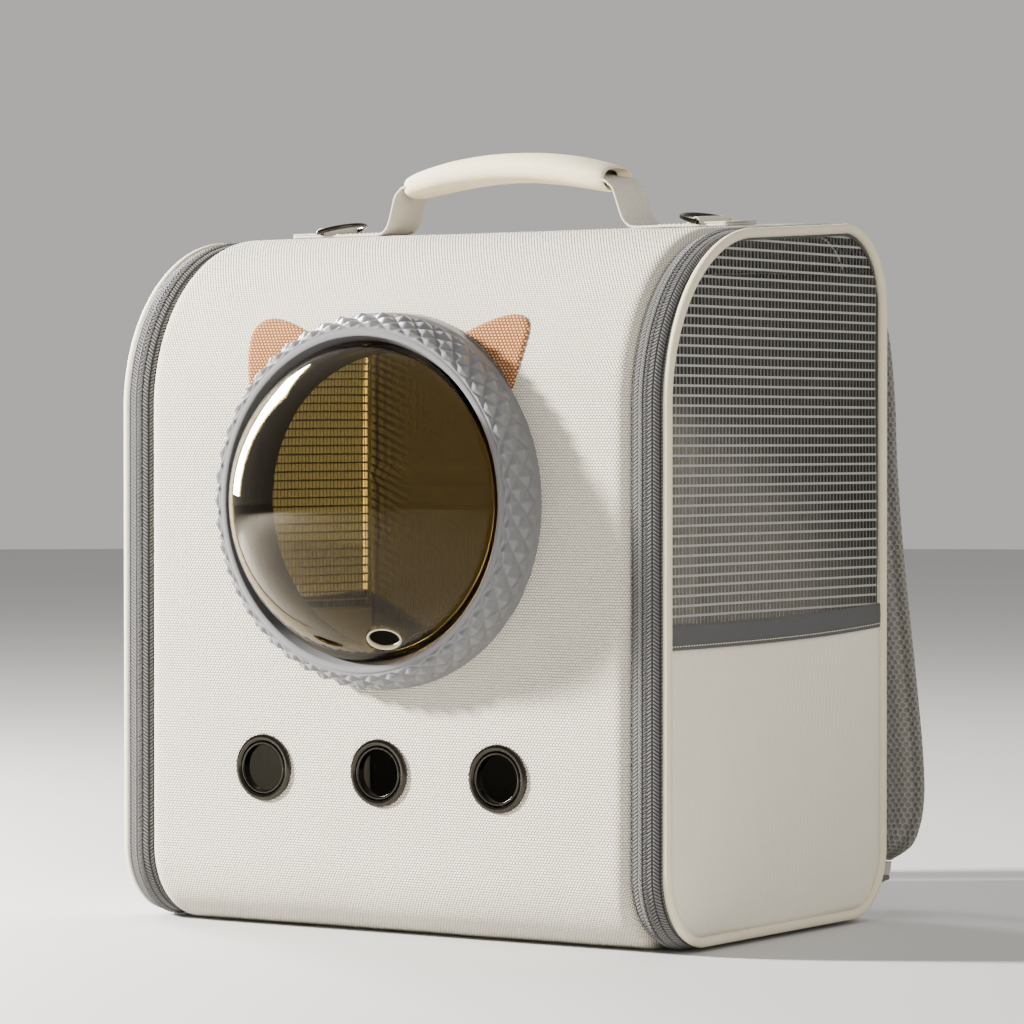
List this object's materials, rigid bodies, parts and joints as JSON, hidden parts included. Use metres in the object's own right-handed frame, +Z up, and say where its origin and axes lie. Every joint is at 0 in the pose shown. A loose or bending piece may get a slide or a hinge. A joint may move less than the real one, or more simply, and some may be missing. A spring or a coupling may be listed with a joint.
{
  "type": "bubble pet carrier backpack",
  "caption": "Boxy cloth backpack for carrying a small pet, with a domed viewing window in a quilted ring, vent eyelets, net sides, pockets, a padded handle and shoulder straps.",
  "frame": {"origin": "middle of the flat underside that the bag stands on", "axes": "+Z up, +X to the bag's right as seen from the front, -Y out of the front with the bubble, +Y towards the wearer's back"},
  "size_m": [0.39, 0.4355, 0.4694],
  "materials": {
    "ivory_cloth": "raised brick weave",
    "pocket_cloth": "fine vertical ribs",
    "piping_cloth": "woven tape over piping",
    "zip_cloth": "zip tape with a coil",
    "band_elastic": "ribbed elastic",
    "grey_net": "open net",
    "back_mesh": "honeycomb spacer mesh",
    "ring_plastic": "satin, quilted in relief",
    "amber_plastic": "clear amber",
    "tan_weave": "coarse basket weave",
    "black_nickel": "polished black nickel",
    "cream_cloth": "padded twill",
    "strap_webbing": "ribbed webbing",
    "dark_plastic": "satin"
  },
  "bodies": {
    "carrier": {"front_shell": "ivory_cloth", "back_panel": "back_mesh", "binding_left": "piping_cloth", "binding_right": "piping_cloth", "zip_left": "zip_cloth", "zip_right": "zip_cloth", "zip_slider_left": "dark_plastic", "zip_slider_right": "dark_plastic", "side_mesh_left": "grey_net", "side_mesh_right": "grey_net", "side_wall_left": "ivory_cloth", "side_wall_right": "ivory_cloth", "side_pocket_left": "pocket_cloth", "side_pocket_right": "pocket_cloth", "pocket_band_left": "band_elastic", "pocket_band_right": "band_elastic", "bubble_ring": "ring_plastic", "bubble_collar": "dark_plastic", "bubble_dome": "amber_plastic", "ear_left": "tan_weave", "ear_right": "tan_weave", "eyelet_left": "black_nickel", "eyelet_middle": "black_nickel", "eyelet_right": "black_nickel", "handle_webbing": "strap_webbing", "handle_grip": "cream_cloth", "ring_loop_left": "strap_webbing", "ring_loop_right": "strap_webbing", "shoulder_strap_left": "back_mesh", "shoulder_strap_right": "back_mesh", "strap_webbing_left": "strap_webbing", "strap_webbing_right": "strap_webbing", "strap_adjuster_left": "dark_plastic", "strap_adjuster_right": "dark_plastic", "strap_anchor_left": "ivory_cloth", "strap_anchor_right": "ivory_cloth"},
    "d_ring_left": {"d_ring_left": "black_nickel"},
    "d_ring_right": {"d_ring_right": "black_nickel"}
  },
  "joints": [
    {"name": "d_ring_left_swing", "type": "hinge", "parent": "carrier", "child": "d_ring_left", "pos_m": [-0.14, 0.02178, 0.42392], "axis": [0, -0.9982, -0.06], "range_deg": [-13, 145]},
    {"name": "d_ring_right_swing", "type": "hinge", "parent": "carrier", "child": "d_ring_right", "pos_m": [0.134, 0.02178, 0.42392], "axis": [0, 0.9982, 0.06], "range_deg": [-13, 145]}
  ]
}
